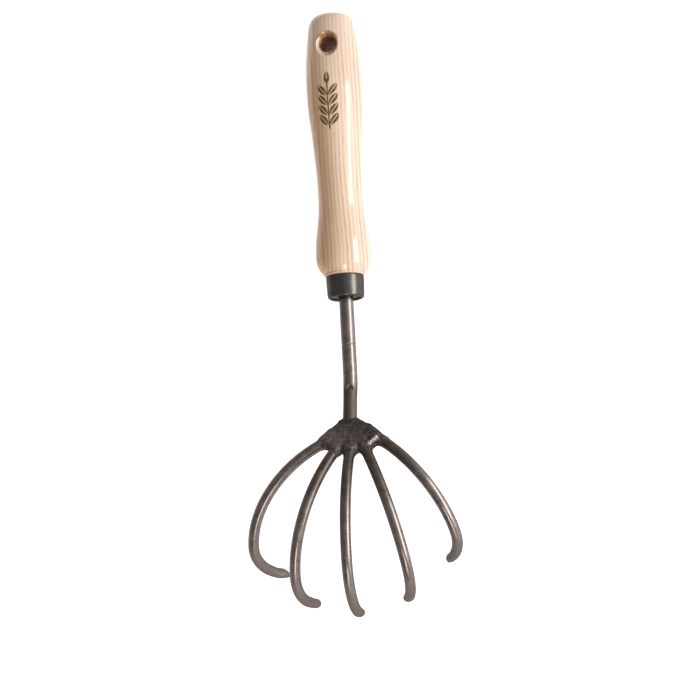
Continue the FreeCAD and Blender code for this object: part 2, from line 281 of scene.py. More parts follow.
WOOD_TONES_AND_SHADE = [
    (0.0, (0.51, 0.282, 0.115)), (0.30, (0.645, 0.415, 0.226)), (0.62, (0.675, 0.517, 0.386)),
    (1.0, (0.59, 0.445, 0.355)),
]
SPRIG_ALONG = -90.8
SPRIG_LENGTH = 27.5
SPRIG_PAIRS = 4
SPRIG_TURN = math.radians(-8.0)
SPRIG_FOOT = 4.6
LEAF_LEAN = math.radians(38)
LEAF_HALF_LENGTH = 3.6
LEAF_HALF_WIDTH = 1.4
LEAF_GAP = 0.5
TOP_LEAF_HALF_LENGTH = 3.3


def sprig_mask(n, side, back, up):
    """1 on the burnt lines of a plain leafy sprig, 0 elsewhere, on the upper side only."""
    base = n.math("SUBTRACT", back, -SPRIG_ALONG)
    side = n.math("SUBTRACT", n.math("MULTIPLY", side, math.cos(SPRIG_TURN)),
                  n.math("MULTIPLY", up, math.sin(SPRIG_TURN)))
    mask = None

    def join(part):
        nonlocal mask
        mask = part if mask is None else n.math("MAXIMUM", mask, part)

    from_stem = n.math("ABSOLUTE", side)
    in_length = n.math("MULTIPLY", n.between(base, -SPRIG_LENGTH / 2, -SPRIG_LENGTH / 2 + 0.4),
                       n.between(base, SPRIG_LENGTH / 2 - 3.4, SPRIG_LENGTH / 2 - 3.8))
    join(n.math("MULTIPLY", n.between(from_stem, 0.42, 0.26), in_length))
    leaf_step = (SPRIG_LENGTH - 9.0) / SPRIG_PAIRS
    for pair in range(SPRIG_PAIRS + 1):
        half_length, angle = LEAF_HALF_LENGTH, LEAF_LEAN
        centre_back = -SPRIG_LENGTH / 2 + SPRIG_FOOT + pair * leaf_step
        centre_side = math.sin(LEAF_LEAN) * (half_length + LEAF_GAP)
        if pair == SPRIG_PAIRS:
            half_length, angle = TOP_LEAF_HALF_LENGTH, 0.0
            centre_back, centre_side = SPRIG_LENGTH / 2 - half_length, 0.0
        local_side = n.math("SUBTRACT", from_stem, centre_side)
        local_back = n.math("SUBTRACT", base, centre_back)
        length_way = n.math("ADD", n.math("MULTIPLY", local_side, math.sin(angle)),
                            n.math("MULTIPLY", local_back, math.cos(angle)))
        width_way = n.math("SUBTRACT", n.math("MULTIPLY", local_side, math.cos(angle)),
                           n.math("MULTIPLY", local_back, math.sin(angle)))
        # a leaf is where two arcs overlap: its half width falls off with the square of the length
        share = n.math("DIVIDE", length_way, half_length)
        falling = n.math("SUBTRACT", 1.0, n.math("MULTIPLY", share, share))
        edge = n.math("MULTIPLY", falling, LEAF_HALF_WIDTH)
        room = n.math("SUBTRACT", edge, n.math("ABSOLUTE", width_way))
        leaf = n.between(room, -0.10, 0.08)
        vein = n.between(n.math("ABSOLUTE", width_way), 0.10, 0.24)
        join(n.math("MULTIPLY", leaf, vein))
    return n.math("MULTIPLY", mask, n.between(up, 0.0, 2.0))


def end_grain_material():
    """The cut end of the wood inside the ferrule: dark, open and mottled."""
    n = Nodes("end_grain")
    point = n.tool_position()[0]
    blotch = n.noise(point, 0.75, 4.0, 0.65)
    pits = n.noise(point, 2.6, 3.0, 0.6)
    tones = [(0.34, (0.025, 0.017, 0.012)), (0.5, (0.13, 0.09, 0.06)), (0.68, (0.36, 0.28, 0.20))]
    colour = n.ramp(blotch, tones)
    colour = n.mix(n.between(pits, 0.5, 0.62), colour, (0.02, 0.014, 0.01))
    return n.surface(Base_Color=colour, Roughness=0.85, Normal=n.bump(blotch, 0.5 * MM, 1.0))


WORN_TONE = (0.154, 0.124, 0.112)
SCORCH_TINT = (0.45, 0.415, 0.385)


def steel_material(name, dark, light, rough_low, rough_high, bump, grain=(1, 1, 1), worked=False):
    """Dark steel with oxide blotches and fine scratches. A worked piece is duller by its mesh's
    "wear" values and darker by its "scorch" values."""
    n = Nodes(name)
    point = n.tool_position()[0]
    blotch = n.noise(point, 0.22, 4.0, 0.6)
    speck = n.noise(point, 1.6, 4.0, 0.7, grain)
    fine = n.noise(point, 6.0, 3.0, 0.6, grain)
    tone = n.math("MULTIPLY_ADD", blotch, 0.55, n.math("MULTIPLY", speck, 0.45))
    colour = n.mix(n.between(tone, 0.36, 0.64), dark, light)
    rough = n.between(n.math("MULTIPLY_ADD", fine, 0.4, n.math("MULTIPLY", blotch, 0.6)),
                      0.38, 0.62, rough_low, rough_high)
    if worked:
        worn = n.node("ShaderNodeAttribute", attribute_name="wear").outputs["Fac"]
        worn = n.math("MULTIPLY", worn, n.between(speck, 0.25, 0.6, 0.75, 1.0))
        colour = n.mix(n.math("MULTIPLY", worn, 0.8), colour, WORN_TONE)
        rough = n.math("MULTIPLY_ADD", worn, 0.26, rough)
        heated = n.node("ShaderNodeAttribute", attribute_name="scorch").outputs["Fac"]
        heated = n.math("MULTIPLY", heated, n.between(blotch, 0.30, 0.62, 1.0, 0.85))
        burnt = n.mix(1.0, colour, SCORCH_TINT, "MULTIPLY")
        colour = n.mix(heated, colour, burnt)
        rough = n.math("MULTIPLY_ADD", heated, 0.16, rough)
    height = n.math("MULTIPLY_ADD", speck, 0.6, n.math("MULTIPLY", fine, 0.4))
    normal = n.bump(height, bump * MM, 1.0)
    return n.surface(
        Base_Color=colour, Metallic=1.0, Roughness=rough, Normal=normal,
        Specular_Tint=(0.5, 0.5, 0.5, 1.0),
    )


def near_spots(n, point, spots, reach):
    """1 near any of the places given in the tool's own frame as (side, -along, up), 0 beyond."""
    mask = None
    for spot in spots:
        gap = n.vector_math("LENGTH", n.vector_math("SUBTRACT", point, spot))
        part = n.between(gap, reach, reach * 0.4)
        mask = part if mask is None else n.math("MAXIMUM", mask, part)
    return mask


def forged_material(rubbed, shaded_spots, lit_spots):
    """Rough scaly forge and weld metal, black with brown and grey patches, bare where rubbed,
    with a pool of painted shade and patches of painted light at the given spots.
    """
    n = Nodes("forged_steel")
    point = n.tool_position()[0]
    lumps = n.noise(point, 0.55, 4.0, 0.6)
    scale = n.noise(point, 2.2, 4.0, 0.7)
    pits = n.noise(point, 5.0, 2.0, 0.6)
    bare = near_spots(n, point, rubbed, 1.2)
    shade_patches = near_spots(n, point, shaded_spots, 7.0)
    lit_patches = near_spots(n, point, lit_spots, 7.0)
    colour = n.mix(n.between(lumps, 0.38, 0.62), (0.046, 0.037, 0.032), (0.108, 0.090, 0.082))
    colour = n.mix(n.between(scale, 0.50, 0.66), colour, (0.185, 0.156, 0.143))
    # painted shade: a darker pool on the pad
    colour = n.mix(n.math("MULTIPLY", shade_patches, 0.5), colour, (0.045, 0.037, 0.032))
    # painted light: paler patches on the pad's left, broken up by the lumps
    lit_patches = n.math("MULTIPLY", lit_patches, n.between(lumps, 0.3, 0.6, 0.1, 0.4))
    colour = n.mix(lit_patches, colour, (0.215, 0.182, 0.166))
    colour = n.mix(bare, colour, (0.16, 0.145, 0.137))
    rough = n.between(scale, 0.3, 0.7, 0.40, 0.66)
    rough = n.math("MULTIPLY", rough, n.math("MULTIPLY_ADD", bare, -0.40, 1.0))
    grit = n.math("MULTIPLY_ADD", scale, 0.5, n.math("MULTIPLY", pits, 0.15))
    height = n.math("ADD", lumps, grit)
    height = n.math("MULTIPLY", height, n.math("MULTIPLY_ADD", bare, -0.85, 1.0))
    normal = n.bump(height, 0.35 * MM, 1.0)
    return n.surface(
        Base_Color=colour, Metallic=0.9, Roughness=rough, Normal=normal,
        Specular_Tint=(0.35, 0.35, 0.35, 1.0),
    )


WOOD = wood_material()
END_GRAIN = end_grain_material()
ROD = steel_material("rod_steel", (0.158, 0.132, 0.118), (0.240, 0.203, 0.184), 0.21, 0.36, 0.012,
                     worked=True)
FERRULE = steel_material("ferrule_steel", (0.075, 0.071, 0.063), (0.105, 0.100, 0.091), 0.24, 0.35,
                         0.015, grain=(8, 1, 8))
# places on the hub, in the fan plane's frame, that are rubbed bare
RUBBED = [
    (15.1, 8.0, 2.7), (14.4, 8.8, 2.9), (13.6, 9.5, 3.0), (12.8, 10.3, 3.2), (12.1, 11.0, 3.3),
    (17.6, 0.0, 3.2), (17.8, -7.4, 3.0),
]
# and places painted darker as a pool of painted shade, and places painted paler as painted light
SHADED_SPOTS = [(3.0, 3.4, 3.0), (6.5, 3.6, 3.0), (-2.0, -1.0, 3.0)]
LIT_SPOTS = [(9.5, -12.0, 2.4), (11.5, -8.0, 2.6)]


def material_spots(fan_spots):
    """Fan-plane spots as the (side, -along, up) that materials read."""
    spots = []
    for forward, right, up in fan_spots:
        along, side, height = fan_spot(forward, right, up)
        spots.append((side, -along, height))
    return spots


FORGED = forged_material(material_spots(RUBBED), material_spots(SHADED_SPOTS), material_spots(LIT_SPOTS))


# ---------------------------------------------------------------- shapes
def clamp(value):
    return min(1.0, max(0.0, value))


def finish_piece(name, points, faces, materials, face_slots=None, smooth=True):
    """A mesh object from points in the row frame."""
    mesh = bpy.data.meshes.new(name)
    mesh.from_pydata([tuple(p) for p in points], [], faces)
    for material in materials:
        mesh.materials.append(material)
    if face_slots is not None:
        mesh.polygons.foreach_set("material_index", face_slots)
    mesh.polygons.foreach_set("use_smooth", [smooth] * len(mesh.polygons))
    mesh.update()
    made = bpy.data.objects.new(name, mesh)
    bpy.context.scene.collection.objects.link(made)
    return made


def smooth_curve(knots, first_slope, count):
    """Points along the cubic spline through the knots, spaced by chord length. The first slope is
    the direction at the first knot; the far end is left free."""
    knots = np.array(knots, float)
    chords = np.hypot(*np.diff(knots, axis=0).T)
    at = np.concatenate([[0.0], np.cumsum(chords)])
    size = len(knots)
    system = np.zeros((size, size))
    known = np.zeros((size, knots.shape[1]))
    system[0, 0] = 1.0
    known[0] = first_slope
    for i in range(1, size - 1):
        before, after = chords[i - 1], chords[i]
        system[i, i - 1], system[i, i], system[i, i + 1] = after, 2 * (before + after), before
        fall, rise = knots[i] - knots[i - 1], knots[i + 1] - knots[i]
        known[i] = 3 * (after * fall / before + before * rise / after)
    system[-1, -2], system[-1, -1] = 1.0, 2.0
    known[-1] = 3 * (knots[-1] - knots[-2]) / chords[-1]
    slopes = np.linalg.solve(system, known)
    places = []
    for s in np.linspace(0.0, at[-1], count):
        i = min(np.searchsorted(at, s, side="right") - 1, size - 2)
        h = chords[i]
        t = (s - at[i]) / h
        places.append(
            (2 * t ** 3 - 3 * t ** 2 + 1) * knots[i] + (t ** 3 - 2 * t ** 2 + t) * h * slopes[i]
            + (3 * t ** 2 - 2 * t ** 3) * knots[i + 1] + (t ** 3 - t ** 2) * h * slopes[i + 1]
        )
    return [tuple(p) for p in places]


def lathe(name, outline, sides, materials, slots=None, wobble=None, spot=place):
    """A turned piece from (along, radius) points. An end at radius 0 closes on the axis, and an
    outline that ends where it starts closes on itself. slots gives each band's material."""
    points, faces, kinds, rings = [], [], [], []
    closed = outline[0] == outline[-1]
    body = outline[:-1] if closed else outline
    for along, radius in body:
        if radius <= 1e-6:
            rings.append([len(points)])
            points.append(spot(along, 0, 0))
            continue
        ring = []
        for k in range(sides):
            turn = 2 * math.pi * k / sides
            r = radius if wobble is None else radius + wobble(along, turn)
            ring.append(len(points))
            points.append(spot(along, r * math.cos(turn), r * math.sin(turn)))
        rings.append(ring)
    if closed:
        rings.append(rings[0])
    for band, (a, b) in enumerate(zip(rings, rings[1:])):
        for k in range(sides):
            after = (k + 1) % sides
            if len(a) == 1:
                faces.append((a[0], b[k], b[after]))
            elif len(b) == 1:
                faces.append((a[k], b[0], a[after]))
            else:
                faces.append((a[k], b[k], b[after], a[after]))
            kinds.append(slots[band] if slots else 0)
    made = finish_piece(name, points, faces, materials, kinds)
    tidy_normals(made)
    return made


def tidy_normals(made):
    """Turns every face outward."""
    work = bmesh.new()
    work.from_mesh(made.data)
    bmesh.ops.recalc_face_normals(work, faces=work.faces)
    work.to_mesh(made.data)
    work.free()


def apply_modifiers(made):
    """Bakes the object's modifiers into its mesh."""
    graph = bpy.context.evaluated_depsgraph_get()
    mesh = bpy.data.meshes.new_from_object(made.evaluated_get(graph))
    made.modifiers.clear()
    made.data = mesh


def rod(name, centres, directions, across, sections, sides, materials, worn, heated, dent=None):
    """A rod through the centres. across is one fixed direction square to the whole path, and each
    section is (radius across, radius in the plane of the bend). The ends are closed."""
    points, faces, wear, scorch = [], [], [], []
    for i, (centre, way, (wide, deep)) in enumerate(zip(centres, directions, sections)):
        normal = way.cross(across).normalized()
        for k in range(sides):
            turn = 2 * math.pi * k / sides
            offset = across * (wide * math.cos(turn)) + normal * (deep * math.sin(turn))
            if dent is not None:
                offset = offset * dent(i, turn)
            points.append(centre + offset * MM)
            wear.append(worn[i])
            scorch.append(heated[i])
    for i in range(len(centres) - 1):
        for k in range(sides):
            after = (k + 1) % sides
            faces.append((i * sides + k, i * sides + after, (i + 1) * sides + after, (i + 1) * sides + k))
    for i in (0, len(centres) - 1):
        middle = len(points)
        points.append(centres[i])
        wear.append(worn[i])
        scorch.append(heated[i])
        for k in range(sides):
            faces.append((middle, i * sides + k, i * sides + (k + 1) % sides))
    made = finish_piece(name, points, faces, materials)
    for label, values in (("wear", wear), ("scorch", scorch)):
        attribute = made.data.attributes.new(label, "FLOAT", "POINT")
        attribute.data.foreach_set("value", values)
    tidy_normals(made)
    return made


# ---------------------------------------------------------------- handle
HANDLE_OUTLINE = [
    (-135.65, 0.0), (-135.37, 3.82), (-134.81, 6.34), (-133.96, 8.35), (-132.25, 9.96), (-127.82, 11.17),
    (HOLE_ALONG, HOLE_CROWN), (-108.7, 13.0), (-98.63, 13.18), (-88.57, 12.83), (-78.5, 11.9),
    (-68.44, 11.15), (-58.37, 10.57), (-48.31, 10.35), (-40.26, 10.64), (-33.72, 11.47),
    (-27.17, 12.36), (-21.64, 12.74), (-17.11, 12.63), (-13.89, 11.57), (-11.35, 9.72),
]
SHANK_RADIUS = 3.25

OUTLINE_POINTS = 200
HANDLE_SIDES = 144
HOLE_SIDES = 96
EASED_EDGE = 0.28

turned = smooth_curve(HANDLE_OUTLINE, (0.0, 1.0), OUTLINE_POINTS)
# a crease and a thin collar, then the tenon runs down inside the ferrule to the end grain
neck = [
    (-11.27, 9.38), (-11.12, 9.40), (-11.0, 9.52), (-10.75, 9.42), (-10.45, 9.15), (-10.32, 8.85),
    (-10.3, 7.82), (-6.0, 7.70), (-1.15, 7.58), (-1.0, 7.40),
]
end_face = [(-1.25, 5.7), (-1.1, 4.3), (-1.6, SHANK_RADIUS + 0.12), (-4.0, SHANK_RADIUS + 0.05), (-4.2, 0.0)]
handle_line = turned + neck + end_face
handle_slots = [0] * (len(turned) + len(neck) - 2) + [1] * (len(end_face) + 1)


def hand_turned(along, turn):
    """Slight unevenness of the turned and sanded surface, in millimetres."""
    if along > -11.5:
        return 0.0
    return -0.03 + 0.03 * noise.noise(Vector((math.cos(turn) * 1.3, math.sin(turn) * 1.3, along * 0.05)))


handle = lathe("handle_wood", handle_line, HANDLE_SIDES, [WOOD, END_GRAIN], handle_slots, hand_turned)

cutter_line = [
    (-HOLE_CROWN - 3.0, 0.0), (-HOLE_CROWN - 3.0, HOLE_RIM_RADIUS + 3.0), (-HOLE_CROWN, HOLE_RIM_RADIUS),
    (-HOLE_CROWN + 2.25, HOLE_RADIUS + 0.15), (-HOLE_CROWN + 2.7, HOLE_RADIUS),
    (HOLE_CROWN - 2.7, HOLE_RADIUS), (HOLE_CROWN - 2.25, HOLE_RADIUS + 0.15),
    (HOLE_CROWN, HOLE_RIM_RADIUS), (HOLE_CROWN + 3.0, HOLE_RIM_RADIUS + 3.0), (HOLE_CROWN + 3.0, 0.0),
]
hole_centre = place(HOLE_ALONG, 0, 0)
hole_axis = heading(0, math.sin(HOLE_TURN), math.cos(HOLE_TURN))
hole_across = heading(1, 0, 0)
hole_third = hole_axis.cross(hole_across)


def hole_spot(along, side, up):
    """A point about the hang hole's own axis."""
    return hole_centre + (hole_axis * along + hole_across * side + hole_third * up) * MM


cutter = lathe("hole_cutter", cutter_line, HOLE_SIDES, [WOOD], spot=hole_spot)
cut = handle.modifiers.new("hang_hole", "BOOLEAN")
cut.operation = "DIFFERENCE"
cut.object = cutter
cut.solver = "EXACT"
ease = handle.modifiers.new("eased_edges", "BEVEL")
ease.width = EASED_EDGE * MM
ease.segments = 3
ease.limit_method = "ANGLE"
ease.angle_limit = math.radians(28)
apply_modifiers(handle)
bpy.data.objects.remove(cutter)
handle.data.polygons.foreach_set("use_smooth", [True] * len(handle.data.polygons))
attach(handle, "root")
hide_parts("handle")

# ---------------------------------------------------------------- ferrule
FERRULE_SIDES = 128
ferrule_line = [
    (-10.27, 8.2), (-10.22, 8.5), (-9.95, 8.66), (-9.4, 8.69), (-5.2, 8.58), (-2.0, 8.47), (-1.1, 8.4),
    (-0.45, 8.17), (-0.08, 7.74), (0.0, 7.29), (-0.12, 6.96), (-0.45, 6.79), (-1.0, 6.84), (-1.1, 7.5),
    (-2.0, 7.72), (-9.7, 7.9), (-10.27, 8.2),
]


def pressed(along, turn):
    """The rolled-in lip is a little uneven, in millimetres."""
    if along < -1.0:
        return 0.0
    return 0.16 * noise.noise(Vector((math.cos(turn) * 2.2, math.sin(turn) * 2.2, 3.0)))


ferrule = lathe("ferrule_steel", ferrule_line, FERRULE_SIDES, [FERRULE], None, pressed)
ferrule_round = ferrule.modifiers.new("round", "SUBSURF")
ferrule_round.levels = ferrule_round.render_levels = 1
apply_modifiers(ferrule)
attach(ferrule, "root")
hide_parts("ferrule")

# ---------------------------------------------------------------- shank
FOOT = (58.98, -1.36, 0.7)
BEND_ALONG = 37.24
BEND_REACH = 3.5
RING_ALONG = 21.39
RING_HALF_WIDTH = 0.3
RING_DEPTH = 0.16
STAMP_START = 40.05
STAMP_END = 42.45
STAMP_HALF_WIDTH = 1.7
STAMP_DEPTH = 0.75


def shank_centre(along):
    """(side, up) of the shank's centre line: straight, a short bend, then straight to the hub."""
    share = max(0.0, along - BEND_ALONG) / (FOOT[0] - BEND_ALONG)
    if abs(along - BEND_ALONG) < BEND_REACH:
        share = (along - BEND_ALONG + BEND_REACH) ** 2 / (4 * BEND_REACH) / (FOOT[0] - BEND_ALONG)
    return FOOT[1] * share, FOOT[2] * share


def shank_stops():
    """Stations along the rod, close together at the ring and at the punch mark."""
    stops = list(np.arange(-4.0, 58.0, 1.5))
    stops += list(np.linspace(RING_ALONG - 0.8, RING_ALONG + 0.8, 17))
    stops += list(np.linspace(STAMP_START - 0.4, STAMP_END + 0.4, 33))
    return sorted(set(round(s, 3) for s in stops))


shank_at = shank_stops()
shank_sections, shank_points = [], []
for along in shank_at:
    groove = max(0.0, 1.0 - (abs(along - RING_ALONG) / RING_HALF_WIDTH) ** 2)
    drawn = 0.02 * noise.noise(Vector((along * 0.12, 5.0, 1.0)))
    worked = clamp((along - STAMP_START) / 6.0)
    radius = SHANK_RADIUS - RING_DEPTH * groove - 0.09 * worked + drawn
    shank_sections.append((radius, radius))
    shank_points.append(place(along, *shank_centre(along)))
shank_ways = [
    (shank_points[min(i + 1, len(shank_points) - 1)] - shank_points[max(i - 1, 0)]).normalized()
    for i in range(len(shank_points))
]
SHANK_SIDES = 96
SHANK_SCORCH = 0.62


def punched(i, turn):
    """The half-round punch mark: full width at its flat lower edge and round above."""
    along = shank_at[i]
    if not STAMP_START < along < STAMP_END:
        return 1.0
    share = (STAMP_END - along) / (STAMP_END - STAMP_START)
    half_width = STAMP_HALF_WIDTH * math.sqrt(max(0.0, 1.0 - share ** 2))
    side = SHANK_RADIUS * math.cos(turn)
    height = SHANK_RADIUS * math.sin(turn)
    if height < 0.0 or abs(side) > half_width:
        return 1.0
    floor_height = SHANK_RADIUS - STAMP_DEPTH
    return min(1.0, floor_height / max(height, 0.1))


# the end that was forged and welded is dull and dark from just above the punch mark
dulled = [clamp((along - STAMP_START + 1.5) / 4.0) for along in shank_at]
shank = rod(
    "shank_steel", shank_points, shank_ways, heading(0, 1, 0), shank_sections, SHANK_SIDES, [ROD],
    dulled, [SHANK_SCORCH * share for share in dulled], punched,
)
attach(shank, "root")
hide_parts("shank")

# ---------------------------------------------------------------- tines
TINE_START = 13.29
FIRST_RADIUS = 48.9
SECOND_RADIUS = 27.0
# name, yaw in the fan plane, shift of the root to the right, scale and turn of the first bend, the
# same for the second, straight length of the tip, radius and the tip's broadening
TINES = [
    ("left_outer", -59.2, 1.5, 0.956, 81.2, 0.86, 55.9, 7.7, 2.46, 0.30),
    ("left_inner", -29.4, 0.7, 0.987, 78.3, 0.97, 51.9, 8.0, 2.44, 0.42),
    ("centre", -3.7, -0.3, 1.037, 63.3, 1.19, 57.9, 6.9, 2.39, 0.46),
    ("right_inner", 21.4, -0.6, 0.994, 67.8, 1.00, 57.0, 7.8, 2.40, 0.40),
    ("right_outer", 48.0, 0.6, 0.908, 73.4, 0.75, 48.9, 8.0, 2.45, 0.30),
]
# for each tine: radius at the very tip, length over which it is drawn to that, how far the point
# stays on the outer side (0 is centred), and how far and over what length it is pulled toward the
# middle of the tool
TIPS = {
    "left_outer": (0.45, 5.6, 0.78, 1.9, 8.1),
    "left_inner": (0.60, 3.6, 0.60, 1.0, 6.1),
    "centre": (1.30, 2.6, 0.30, 0.6, 24.0),
    "right_inner": (1.20, 2.8, 0.50, 0.2, 5.3),
    "right_outer": (0.45, 5.0, 0.76, 1.5, 7.5),
}


def tine_heading(yaw):
    turn = math.radians(yaw)
    return FAN_FORWARD * math.cos(turn) + FAN_RIGHT * math.sin(turn)


def tine_point(tine, s):
    """Centre (along, side, up) and direction at the distance s from the tine's root along the rod."""
    name, yaw, shift, first_scale, first_degrees, second_scale, second_degrees = tine[:7]
    first, second = FIRST_RADIUS * first_scale, SECOND_RADIUS * second_scale
    first_turn, second_turn = math.radians(first_degrees), math.radians(second_degrees)
    bent = max(0.0, s - TINE_START)
    turn_one = min(bent / first, first_turn)
    turn_two = min(max(0.0, bent - first * first_turn) / second, second_turn)
    turn = turn_one + turn_two
    straight = max(0.0, bent - first * first_turn - second * second_turn)
    out = min(s, TINE_START) + first * math.sin(turn_one)
    out += second * (math.sin(turn) - math.sin(turn_one)) + straight * math.cos(turn)
    down = first * (1 - math.cos(turn_one))
    down += second * (math.cos(turn_one) - math.cos(turn)) + straight * math.sin(turn)
    way = tine_heading(yaw)
    aside = FAN_RIGHT * math.cos(math.radians(yaw)) - FAN_FORWARD * math.sin(math.radians(yaw))
    centre = np.array(FAN) + aside * shift + way * out + FAN_DOWN * down
    return centre, way * math.cos(turn) + FAN_DOWN * math.sin(turn)


def tine_length(tine):
    first = FIRST_RADIUS * tine[3] * math.radians(tine[4])
    second = SECOND_RADIUS * tine[5] * math.radians(tine[6])
    return TINE_START + first + second + tine[7]


def tip_section(left, rod_radius, broad, end_radius, drawn_length):
    """(radius across, radius in the bend's plane) at the distance left before the tip's centre: the
    rod is hammered a little flat and wide, then drawn to a short point."""
    if left < 0:
        share = min(1.0, -left / end_radius)
        radius = end_radius * math.sqrt(max(0.0, 1.0 - share * share))
        return max(radius, 0.02), max(radius * 0.85, 0.02)
    swell = math.exp(-((left - drawn_length - 0.8) / 2.6) ** 2)
    wide = rod_radius + broad * swell
    deep = rod_radius - 0.3 * swell
    if left < drawn_length:
        ease = math.sin(0.5 * math.pi * left / drawn_length) ** 0.9
        wide = end_radius + (wide - end_radius) * ease
        deep = end_radius * 0.85 + (deep - end_radius * 0.85) * ease
    return wide, deep


TINE_SIDES = 40
# each rod starts inside the hub, and its last stretch has closer stations
ROD_START = 6.0
TIP_STRETCH = 14.0
TIP_OVERHANG = 0.9
UNEVEN_UNTIL = 12.0
FLOOR_GAP = 0.03 * MM
# shares of a tine's length: the end that soil dulls, and the end that the forge fire darkened
WORN_FROM = 0.66
HEATED_TO = 0.50
LEFT_OUTER_HEATED_TO = 0.30
FADE = 0.20
for number, parameters in enumerate(TINES):
    name, yaw, radius, broad = parameters[0], parameters[1], parameters[8], parameters[9]
    end_radius, drawn_length, outer_share, pull, pull_length = TIPS[name]
    whole = tine_length(parameters) + TIP_OVERHANG - end_radius
    stops = list(np.arange(ROD_START, whole - TIP_STRETCH, 1.0))
    stops += list(np.arange(whole - TIP_STRETCH, whole - 0.01, 0.4))
    stops += [whole + end_radius * t for t in (0.0, 0.25, 0.5, 0.7, 0.85, 0.95, 1.0)]
    inward = -heading(*tine_heading(yaw))
    inward.z = 0.0
    inward.normalize()
    across = heading(*np.cross(tine_heading(yaw), FAN_DOWN))
    centres, ways, sections, worn, heated = [], [], [], [], []
    for s in stops:
        centre, way = tine_point(parameters, s)
        drawn = 0.015 * noise.noise(Vector((s * 0.10, number * 7.3, 2.0)))
        wide, deep = tip_section(whole - s, radius, broad, end_radius, drawn_length)
        if s < whole - UNEVEN_UNTIL:
            wide, deep = wide + drawn, deep + drawn
        # the point is drawn from the inner side, so its outer side stays nearly straight
        way = heading(*way)
        outer = way.cross(across)
        if outer.dot(heading(*FAN_DOWN)) < 0:
            outer = -outer
        drag = max(0.0, 1.0 - max(0.0, whole - s) / pull_length) ** 2
        centre = place(*centre) + outer * (outer_share * (radius - deep) * MM)
        centre += inward * (pull * drag * MM)
        # the points that touch the floor rest on it
        lowest = math.hypot(wide * across.z, deep * outer.z) * MM + FLOOR_GAP
        centre.z = max(centre.z, lowest)
        centres.append(centre)
        ways.append(way)
        sections.append((wide, deep))
        share = s / whole
        worn.append(clamp((share - WORN_FROM) / FADE))
        heated_to = LEFT_OUTER_HEATED_TO if name == "left_outer" else HEATED_TO
        heated.append(clamp((heated_to - share) / FADE))
    tine = rod(f"{name}_tine_steel", centres, ways, across, sections, TINE_SIDES, [ROD], worn, heated)
    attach(tine, "root")
    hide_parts(f"{name}_tine")

# ---------------------------------------------------------------- hub with its welds
NET_STEP = 0.36
NET_LOW = np.array((-9.0, -22.5, -8.5))
NET_HIGH = np.array((25.0, 20.5, 8.0))
PAD_HALF_THICKNESS = 1.3
PAD_ROUND = 1.35
# the pad's outline in the fan plane, (forward, right) from the fan point
PAD_OUTLINE = [
    (-5.2, -5.1), (-3.4, -6.0), (-1.4, -7.8), (0.6, -9.5), (3.4, -12.0), (6.2, -14.1), (8.8, -15.4),
    (11.0, -13.8), (12.8, -12.1), (14.2, -11.2), (15.6, -8.9), (15.9, -6.3), (15.4, -4.9), (16.4, -3.5),
    (17.2, -1.1), (16.8, 1.2), (15.6, 2.4), (15.8, 3.7), (16.0, 5.5), (15.0, 7.6), (12.6, 9.8),
    (10.4, 11.0), (8.2, 11.2), (5.6, 9.9), (3.4, 8.4), (1.8, 6.6), (0.8, 4.2), (-1.2, 1.4), (-5.2, 0.4),
]
# radius of the metal around each tine at distances from its root, and around the shank
SLEEVE = [
    (0.0, 2.6), (3.5, 3.4), (6.0, 3.8), (11.0, 3.35), (14.5, 3.0), (17.5, 2.7), (19.5, 2.5), (20.5, 2.1),
]
COLLAR = [(56.2, 2.6), (57.0, 3.2), (58.0, 3.5), (59.4, 4.1)]
# small weld drops on the fan plane's upper side: forward, right, up, radius
BEADS = [
    (17.4, 0.0, 2.3, 0.8), (17.6, -7.4, 2.2, 0.8), (9.0, -12.9, 1.6, 1.0), (15.6, 4.3, 2.5, 0.8),
    (-1.0, -6.6, 2.2, 1.0), (2.6, 6.8, 2.3, 1.2),
]
# a smooth hammered ridge at the pad's right front edge, by its two ends
RIDGE = [np.array((14.06, 7.11, 1.93)), np.array((11.03, 10.17, 2.53))]
RIDGE_RADIUS = 1.6
# how far the fillets reach between the pad and what grows out of it
SLEEVE_FILLET = 2.0
COLLAR_FILLET = 2.2
BEAD_FILLET = 0.9
RIDGE_FILLET = 0.7


def blend(a, b, reach):
    """The smaller of two distances, with a fillet where they are nearly equal."""
    share = np.clip(0.5 + 0.5 * (b - a) / reach, 0.0, 1.0)
    return b + (a - b) * share - reach * share * (1.0 - share)


def chain_distance(spots, knots, radii):
    """Distance to a rod through the knots whose radius changes along it."""
    nearest = None
    for a, b, ra, rb in zip(knots, knots[1:], radii, radii[1:]):
        way = b - a
        t = np.clip((spots - a) @ way / (way @ way), 0.0, 1.0)
        gap = np.linalg.norm(spots - a - t[:, None] * way, axis=1) - (ra + (rb - ra) * t)
        nearest = gap if nearest is None else np.minimum(nearest, gap)
    return nearest


def outline_distance(u, v, outline):
    """Signed distance in the plane to a closed outline, negative inside."""
    nearest = np.full(u.shape, 1e9)
    crossings = np.zeros(u.shape, dtype=int)
    for (ua, va), (ub, vb) in zip(outline, outline[1:] + outline[:1]):
        du, dv = ub - ua, vb - va
        t = np.clip(((u - ua) * du + (v - va) * dv) / (du * du + dv * dv), 0.0, 1.0)
        nearest = np.minimum(nearest, np.hypot(u - ua - t * du, v - va - t * dv))
        straddles = (va > v) != (vb > v)
        crossings += straddles & (u < ua + du * (v - va) / (dv if dv else 1e-9))
    return np.where(crossings % 2 == 1, -nearest, nearest)


